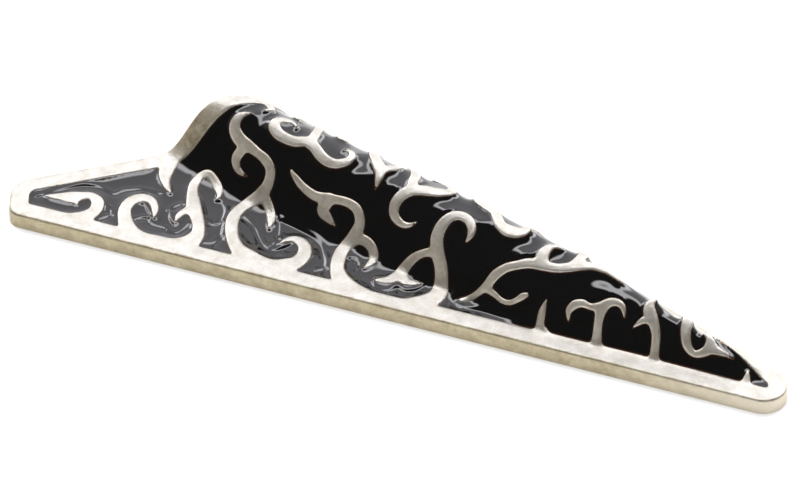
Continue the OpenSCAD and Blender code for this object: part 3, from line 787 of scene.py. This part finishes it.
def settled(edge, aim, held, pull):
    """Heights that keep to the edge where they are held, and are drawn to the aim elsewhere."""
    heights = np.where(held, edge, aim)
    for _ in range(SETTLING_ROUNDS):
        mean = heights.copy()
        around = heights[2:, 1:-1] + heights[:-2, 1:-1] + heights[1:-1, 2:] + heights[1:-1, :-2]
        mean[1:-1, 1:-1] = (around + (pull * aim)[1:-1, 1:-1]) / (4.0 + pull[1:-1, 1:-1])
        heights = np.where(held, edge, mean)
    return heights


def enamel_sheet():
    """The enamel's surface, which climbs where it meets silver like a liquid that wets it."""
    plan, triangles, counts = plan_grid(ENAMEL_STEP)
    rim = inward(plan)
    x, y = plan[:, 0], plan[:, 1]
    normal = FACE.normal(x, y)
    edge = np.full(len(plan), -1.0)
    field = rim > BORDER - 0.5
    edge[field] = to_silver((plan + normal[:, :2] * ENAMEL_EDGE)[field])
    upright = np.maximum(normal[:, 2], LEAST_UPRIGHT)
    drop = ENAMEL_DROP * (STEEP_DROP + (1 - STEEP_DROP) * fade_in(upright, FLAT_START, FLAT_OVER))
    aim = SOFT_FACE.height(x, y) - drop / upright + WAVE_HEIGHT * waves(plan)
    brim = FACE.height(x, y) - ENAMEL_EDGE / upright
    pull = (ENAMEL_STEP / (ENAMEL_REACH * upright)) ** 2
    heights = settled(*(values.reshape(counts) for values in (brim, aim, edge < 0.0, pull))).ravel()
    heights = heights + (ripples(plan) + bulges(plan)) * fade_in(edge, 0.0, CALM)
    keep = (edge[triangles] > -ENAMEL_UNDER).any(1) & (rim[triangles] > BORDER - 0.3).all(1)
    points, triangles, edge = only(np.column_stack([plan, heights]), triangles, keep, edge)
    sheet = mesh_object("enamel_field", points, triangles, edge=edge)
    body = sheet.modifiers.new("body of the enamel", "SOLIDIFY")
    body.thickness, body.offset = ENAMEL_THICK * MM, -1.0
    return sheet


# Materials

MIX_SHARE, MIX_FIRST, MIX_SECOND, MIX_OUT = 0, 6, 7, 2    # a colour Mix node's sockets
BLACK, WHITE = (0, 0, 0), (1, 1, 1)


def feed(tree, socket, source):
    """Sets an input to a number or a colour, or links it to another node's output."""
    if isinstance(source, (int, float)):
        socket.default_value = source
    elif isinstance(source, tuple):
        socket.default_value = (*source, 1)
    else:
        tree.links.new(source, socket)


def maths(tree, operation, *sources):
    node = tree.nodes.new("ShaderNodeMath")
    node.operation = operation
    for socket, source in zip(node.inputs, sources):
        feed(tree, socket, source)
    return node.outputs[0]


def colour_ramp(tree, source, *stops):
    node = tree.nodes.new("ShaderNodeValToRGB")
    for element, (position, colour) in zip(node.color_ramp.elements, stops):
        element.position = position
        element.color = (*colour, 1)
    tree.links.new(source, node.inputs["Fac"])
    return node.outputs["Color"]


def mix_colour(tree, share, first, second):
    node = tree.nodes.new("ShaderNodeMix")
    node.data_type = "RGBA"
    for index, source in ((MIX_SHARE, share), (MIX_FIRST, first), (MIX_SECOND, second)):
        feed(tree, node.inputs[index], source)
    return node.outputs[MIX_OUT]


def value_at_points(tree, name):
    node = tree.nodes.new("ShaderNodeAttribute")
    node.attribute_name = name
    return node.outputs["Fac"]


def map_range(tree, value, low, high, interpolation="LINEAR"):
    node = tree.nodes.new("ShaderNodeMapRange")
    node.interpolation_type = interpolation
    tree.links.new(value, node.inputs["Value"])
    node.inputs["From Min"].default_value = low
    node.inputs["From Max"].default_value = high
    return node.outputs["Result"]


def clouds_group():
    """Soft clouds over a piece's Object coordinates, about 0.3 to 0.7, for tones and for grain."""
    group = bpy.data.node_groups.new("clouds", "ShaderNodeTree")
    for name in ("Scale", "Detail", "Roughness"):
        group.interface.new_socket(name=name, in_out="INPUT", socket_type="NodeSocketFloat")
    group.interface.new_socket(name="Value", in_out="OUTPUT", socket_type="NodeSocketFloat")
    entry = group.nodes.new("NodeGroupInput")
    place = group.nodes.new("ShaderNodeTexCoord")
    noise = group.nodes.new("ShaderNodeTexNoise")
    result = group.nodes.new("NodeGroupOutput")
    group.links.new(place.outputs["Object"], noise.inputs["Vector"])
    for name in ("Scale", "Detail", "Roughness"):
        group.links.new(entry.outputs[name], noise.inputs[name])
    group.links.new(noise.outputs["Fac"], result.inputs["Value"])
    return group


CLOUDS = clouds_group()


def clouds(tree, scale, detail, roughness):
    node = tree.nodes.new("ShaderNodeGroup")
    node.node_tree = CLOUDS
    for name, value in (("Scale", scale), ("Detail", detail), ("Roughness", roughness)):
        node.inputs[name].default_value = value
    return node.outputs["Value"]


def grain(tree, shader, height, strength, depth):
    """Fine unevenness of a surface, as bump."""
    bump = tree.nodes.new("ShaderNodeBump")
    bump.inputs["Strength"].default_value = strength
    bump.inputs["Distance"].default_value = depth * MM
    tree.links.new(height, bump.inputs["Height"])
    tree.links.new(bump.outputs["Normal"], shader.inputs["Normal"])


def new_material(name):
    material = bpy.data.materials.new(name)
    material.use_nodes = True
    tree = material.node_tree
    tree.nodes.clear()
    out = tree.nodes.new("ShaderNodeOutputMaterial")
    shader = tree.nodes.new("ShaderNodeBsdfPrincipled")
    tree.links.new(shader.outputs["BSDF"], out.inputs["Surface"])
    return material, tree, shader


def silver_tone_with_shade(tree):
    """Cast silver with painted shade: warmer on steep flanks, and darker and browner on the steep strip
    round the dome's open end.
    """
    cloud = clouds(tree, 900, 5, 0.7)
    fine_cloud = clouds(tree, 1300, 5, 0.75)
    patina = value_at_points(tree, "patina")
    tone = colour_ramp(tree, cloud, (0.28, (0.58, 0.55, 0.485)), (0.7, (0.79, 0.775, 0.735)))
    warm = colour_ramp(tree, cloud, (0.3, (0.60, 0.53, 0.42)), (0.66, (0.88, 0.83, 0.72)))
    brown = colour_ramp(tree, fine_cloud, (0.36, (0.30, 0.25, 0.16)), (0.64, (0.62, 0.55, 0.41)))
    # painted shade: the colour moves towards the warmer tone as the face steepens
    tone = mix_colour(tree, colour_ramp(tree, patina, (0.0, BLACK), (MID_SLOPE_SHADE, WHITE)), tone, warm)
    # painted shade: and towards mottled dark brown on the steep strip round the open end
    return mix_colour(tree, colour_ramp(tree, patina, (0.55, BLACK), (1.0, WHITE)), tone, brown)


WALL_PALE_X = (0.020, 0.036)    # stretch of Object X over which the wall grows pale


def with_tarnish(tree, tone):
    """Tarnish on the outer wall and along the outer edge, which is paler towards the right tip."""
    patch = clouds(tree, 900, 4, 0.7)
    wall = colour_ramp(tree, patch, (0.3, (0.375, 0.32, 0.205)), (0.68, (0.585, 0.515, 0.355)))
    place = tree.nodes.new("ShaderNodeSeparateXYZ")
    tree.links.new(tree.nodes.new("ShaderNodeTexCoord").outputs["Object"], place.inputs["Vector"])
    wall = mix_colour(tree, map_range(tree, place.outputs["X"], *WALL_PALE_X), wall, (0.71, 0.65, 0.53))
    rim = maths(tree, "ADD", value_at_points(tree, "rim"), maths(tree, "MULTIPLY", patch, 0.25))
    return mix_colour(tree, colour_ramp(tree, rim, (0.16, WHITE), (0.40, BLACK)), tone, wall)


def silver_material():
    material, tree, shader = new_material("cast silver")
    shader.inputs["Metallic"].default_value = 0.85
    edge = value_at_points(tree, "edge")
    # thin brown line where the silver meets the enamel
    meeting = maths(tree, "ADD", maths(tree, "MULTIPLY", edge, 4.0), 0.5)
    line = colour_ramp(tree, meeting, (0.28, BLACK), (0.48, WHITE))
    colour = mix_colour(tree, line, with_tarnish(tree, silver_tone_with_shade(tree)), (0.25, 0.17, 0.11))
    tree.links.new(colour, shader.inputs["Base Color"])
    # the scrolls' edges are polished smoother than their middles
    polish = maths(tree, "ADD", maths(tree, "MULTIPLY", edge, 3.0), 0.8)
    polish = maths(tree, "MULTIPLY", colour_ramp(tree, polish, (0.1, BLACK), (0.5, WHITE)), 0.14)
    rough = maths(tree, "ADD", maths(tree, "MULTIPLY", clouds(tree, 1500, 5, 0.65), 0.2), 0.34)
    tree.links.new(maths(tree, "SUBTRACT", rough, polish), shader.inputs["Roughness"])
    grain(tree, shader, clouds(tree, 4200, 4, 0.7), strength=0.7, depth=0.08)
    return material


def enamel_material():
    material, tree, shader = new_material("black enamel")
    # brown where it wets the silver
    meeting = maths(tree, "MULTIPLY", value_at_points(tree, "edge"), 4.0)
    colour = colour_ramp(tree, meeting, (0.0, (0.05, 0.024, 0.013)), (0.2, (0.003, 0.003, 0.0033)))
    tree.links.new(colour, shader.inputs["Base Color"])
    shader.inputs["IOR"].default_value = 1.7
    shader.inputs["Roughness"].default_value = 0.04
    grain(tree, shader, clouds(tree, 420, 2, 0.5), strength=0.25, depth=0.03)
    return material


def pin_material():
    material, tree, shader = new_material("pin steel")
    shader.inputs["Metallic"].default_value = 1.0
    shader.inputs["Roughness"].default_value = 0.28
    tone = colour_ramp(tree, clouds(tree, 500, 3, 0.6), (0.3, (0.62, 0.61, 0.60)), (0.7, (0.74, 0.73, 0.71)))
    tree.links.new(tone, shader.inputs["Base Color"])
    return material


# The pin on the back, with the sizes of part.scad

PIN_Z = 1.0                          # height of the stem's middle
CATCH_X, JOINT_X = 22.0, 47.0        # places of the catch and of the joint along the brooch
STEM_RADIUS, NECK_RADIUS, POINT_RADIUS = 0.45, 0.22, 0.04
STEM_PAST, NECK_PAST, POINT_PAST = 1.6, 3.2, 4.0    # how far the stem runs on past the catch
BARREL_RADIUS, BARREL_HALF = 0.8, 1.2
COLLAR_LENGTH = 1.8
POST_RADIUS, FOOT_RADIUS, FOOT_THICK = 0.8, 1.5, 0.5
FOOT_UNDER = 0.1                     # broken edge under a foot
BREAK = 0.08                         # every other broken edge
SEAT_GAP = 0.15                      # between a foot and the roof of the hollow
TURNED_SIDES = 32


def turned_piece(mesh, place, axis, rows):
    """A piece turned on a lathe, from rows of distance along its axis and radius."""
    turn = Vector((0, 0, 1)).rotation_difference(Vector(axis)).to_matrix().to_4x4()
    move = Matrix.Translation(Vector(place)) @ turn
    corners = [mesh.verts.new(move @ Vector((radius, 0, along))) for along, radius in rows]
    edges = [mesh.edges.new(pair) for pair in zip(corners[:-1], corners[1:])]
    direction = (move.to_3x3() @ Vector((0, 0, 1))).normalized()
    bmesh.ops.spin(mesh, geom=corners + edges, cent=Vector(place), axis=direction, dvec=(0, 0, 0),
                   angle=2 * math.pi, steps=TURNED_SIDES, use_merge=True, use_duplicate=False)


def barrel_rows(start, end):
    inner = BARREL_RADIUS - BREAK
    return [(start, 0), (start, inner), (start + BREAK, BARREL_RADIUS), (end - BREAK, BARREL_RADIUS),
            (end, inner), (end, 0)]


def post_rows(x, y):
    """A post from the stem's height up to a round foot under the lowest roof over it."""
    angles = np.radians(np.arange(0, 360, 30))
    lowest = float(roof(x + FOOT_RADIUS * np.cos(angles), y + FOOT_RADIUS * np.sin(angles)).min())
    top = lowest - SEAT_GAP - PIN_Z
    foot = top - FOOT_THICK
    return [(0, 0), (0, POST_RADIUS), (foot, POST_RADIUS), (foot, FOOT_RADIUS - FOOT_UNDER),
            (foot + BREAK, FOOT_RADIUS), (top - BREAK, FOOT_RADIUS), (top, FOOT_RADIUS - BREAK), (top, 0)]


def pin_piece():
    mesh = bmesh.new()
    catch, joint = (np.array([x, float(crest_y(x))]) for x in (CATCH_X, JOINT_X))
    run = np.linalg.norm(catch - joint)
    along = (catch - joint) / run
    for x, y in (catch, joint):
        turned_piece(mesh, (x, y, PIN_Z), (0, 0, 1), post_rows(x, y))
    joint_place = (*joint, PIN_Z)
    turned_piece(mesh, joint_place, (-along[1], along[0], 0), barrel_rows(-BARREL_HALF, BARREL_HALF))
    stem = [(0, 0), (0, STEM_RADIUS), (run + STEM_PAST, STEM_RADIUS), (run + NECK_PAST, NECK_RADIUS),
            (run + POINT_PAST, POINT_RADIUS), (run + POINT_PAST + 0.02, 0)]
    turned_piece(mesh, joint_place, (*along, 0), stem)
    collar_place = (*(joint + along * (run - COLLAR_LENGTH / 2)), PIN_Z)
    turned_piece(mesh, collar_place, (*along, 0), barrel_rows(0, COLLAR_LENGTH))
    bmesh.ops.remove_doubles(mesh, verts=mesh.verts[:], dist=1e-4)
    bmesh.ops.recalc_face_normals(mesh, faces=mesh.faces[:])
    for corner in mesh.verts:
        corner.co = Vector(to_row(corner.co))
    data = bpy.data.meshes.new("pin")
    mesh.to_mesh(data)
    mesh.free()
    data.polygons.foreach_set("use_smooth", np.full(len(data.polygons), True))
    return linked("pin", data)


# The dressed pieces

silver = silver_body()
silver.data.materials.append(silver_material())
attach(silver, "root")
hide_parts("silver_casting")

enamel = enamel_sheet()
enamel.data.materials.append(enamel_material())
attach(enamel, "root")
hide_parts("enamel")

pin = pin_piece()
pin.data.materials.append(pin_material())
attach(pin, "root")
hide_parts("pin_back")


# Floor, camera and light

FLOOR_HALF = 3.0           # metres
PHOTO_WIDTH = 805          # pixels
MM_PER_PIXEL = 0.085       # scale of the photo at the brooch
SENSOR = 36.0              # millimetres, as are the camera's distance and aim
DISTANCE = 450.0
AIM = np.array([34.0, 8.0, 1.4])
ELEVATION = math.radians(40.0)
TURN = math.atan(0.25 / math.sin(ELEVATION))
# The photo was traced with the brooch turned and moved by a hair, which the camera takes up.
TRACED_TURN, TRACED_Y = math.atan(0.0035), 0.314


def paper_floor():
    mesh = bpy.data.meshes.new("floor")
    corners = [(-1, -1, 0), (1, -1, 0), (1, 1, 0), (-1, 1, 0)]
    mesh.from_pydata([(x * FLOOR_HALF, y * FLOOR_HALF, z) for x, y, z in corners], [], [(0, 1, 2, 3)])
    material, _, shader = new_material("floor paper")
    shader.inputs["Base Color"].default_value = (0.94, 0.94, 0.94, 1)
    shader.inputs["Roughness"].default_value = 0.9
    mesh.materials.append(material)
    return linked("floor", mesh)


def level_ahead():
    """The level direction away from the camera, as traced."""
    return np.array([-math.sin(TURN), math.cos(TURN), 0.0])


def traced_back():
    """The turn from what was traced to the part."""
    c, s = math.cos(TRACED_TURN), math.sin(TRACED_TURN)
    return np.array([[c, s, 0], [-s, c, 0], [0, 0, 1]])


def view_axes():
    """The camera's right, up and forward directions, and its place in millimetres."""
    right = np.array([math.cos(TURN), math.sin(TURN), 0.0])
    look = level_ahead() * math.cos(ELEVATION) - np.array([0, 0, math.sin(ELEVATION)])
    place = AIM - look * DISTANCE - np.array([0, TRACED_Y, 0])
    back = traced_back()
    return back @ right, back @ np.cross(right, look), back @ look, back @ place


def photo_camera():
    right, up, look, place = view_axes()
    data = bpy.data.cameras.new("camera")
    camera = linked("camera", data)
    turn = Matrix([[right[i], up[i], -look[i]] for i in range(3)]).to_4x4()
    camera.matrix_world = Matrix.Translation(Vector(to_row(place))) @ turn
    data.sensor_width = SENSOR
    data.lens = SENSOR * DISTANCE / MM_PER_PIXEL / PHOTO_WIDTH
    data.clip_start, data.clip_end = 0.01, 20
    bpy.context.scene.camera = camera


# A pale screen stands behind the brooch with a frame of bright light round it; overhead, at the sides
# and on the camera's side it is dark. The tops are angles up from the horizon behind, and on over the
# top of the sky; the sides are sines of the angle from straight ahead.
SCREEN_TOP, SCREEN_SIDE = 1.06, 0.42
FRAME_TOP, FRAME_SIDE = 0.19, 0.13
CORNER_SOFT = 0.5
SCREEN_END, FRAME_END = (-0.35, 0.35), (0.75, 1.45)    # edges of screen and frame, in widths of the frame
ROOM_DARKENS = (0.75, 1.3)
PALE, BRIGHT, ROOM, DARK = 1.06, 5.0, 0.36, 0.05
COOL_LIGHT, WARM_LIGHT = (1.0, 0.99, 1.03), (1.0, 0.92, 0.80)


def studio_light():
    world = bpy.data.worlds.new("studio")
    bpy.context.scene.world = world
    world.use_nodes = True
    tree = world.node_tree
    tree.nodes.clear()
    out = tree.nodes.new("ShaderNodeOutputWorld")
    background = tree.nodes.new("ShaderNodeBackground")
    tree.links.new(background.outputs[0], out.inputs[0])
    direction = tree.nodes.new("ShaderNodeTexCoord").outputs["Generated"]

    def part_along(axis):
        node = tree.nodes.new("ShaderNodeVectorMath")
        node.operation = "DOT_PRODUCT"
        tree.links.new(direction, node.inputs[0])
        node.inputs[1].default_value = [float(part) for part in axis]
        return node.outputs["Value"]

    def widths_past(angle, screen, frame):
        return maths(tree, "DIVIDE", maths(tree, "SUBTRACT", angle, screen), frame)

    def between(share, start, end):
        return maths(tree, "ADD", start, maths(tree, "MULTIPLY", share, end - start))

    ahead = traced_back() @ level_ahead()
    over = maths(tree, "ARCTAN2", part_along((0, 0, 1)), part_along(ahead))
    side = maths(tree, "ABSOLUTE", part_along(np.cross(ahead, (0, 0, 1))))
    past = maths(tree, "SMOOTH_MAX", widths_past(over, SCREEN_TOP, FRAME_TOP),
                 widths_past(side, SCREEN_SIDE, FRAME_SIDE), CORNER_SOFT)
    off_screen = map_range(tree, past, *SCREEN_END, "SMOOTHSTEP")
    off_frame = map_range(tree, past, *FRAME_END, "SMOOTHSTEP")
    light = between(off_screen, PALE, BRIGHT)
    # the room round the screen darkens towards the camera's side
    room = between(map_range(tree, over, *ROOM_DARKENS, "SMOOTHSTEP"), ROOM, DARK)
    dimmed = maths(tree, "MULTIPLY", off_frame, maths(tree, "SUBTRACT", room, BRIGHT))
    tree.links.new(maths(tree, "ADD", light, dimmed), background.inputs["Strength"])
    tree.links.new(mix_colour(tree, off_frame, COOL_LIGHT, WARM_LIGHT), background.inputs["Color"])


def floor_lamp():
    """A broad soft lamp that lights the floor and isn't seen in the metal, placed in metres."""
    data = bpy.data.lights.new("key", "AREA")
    lamp = linked("key", data)
    data.shape = "RECTANGLE"
    data.size, data.size_y = 1.6, 1.2
    data.energy = 13.5
    lamp.location = (0.05, -0.25, 0.9)
    lamp.rotation_euler = (-lamp.location).to_track_quat("-Z", "Y").to_euler()
    lamp.visible_glossy = False


floor = paper_floor()
photo_camera()
studio_light()
floor_lamp()
bpy.context.scene.view_settings.view_transform = "Standard"
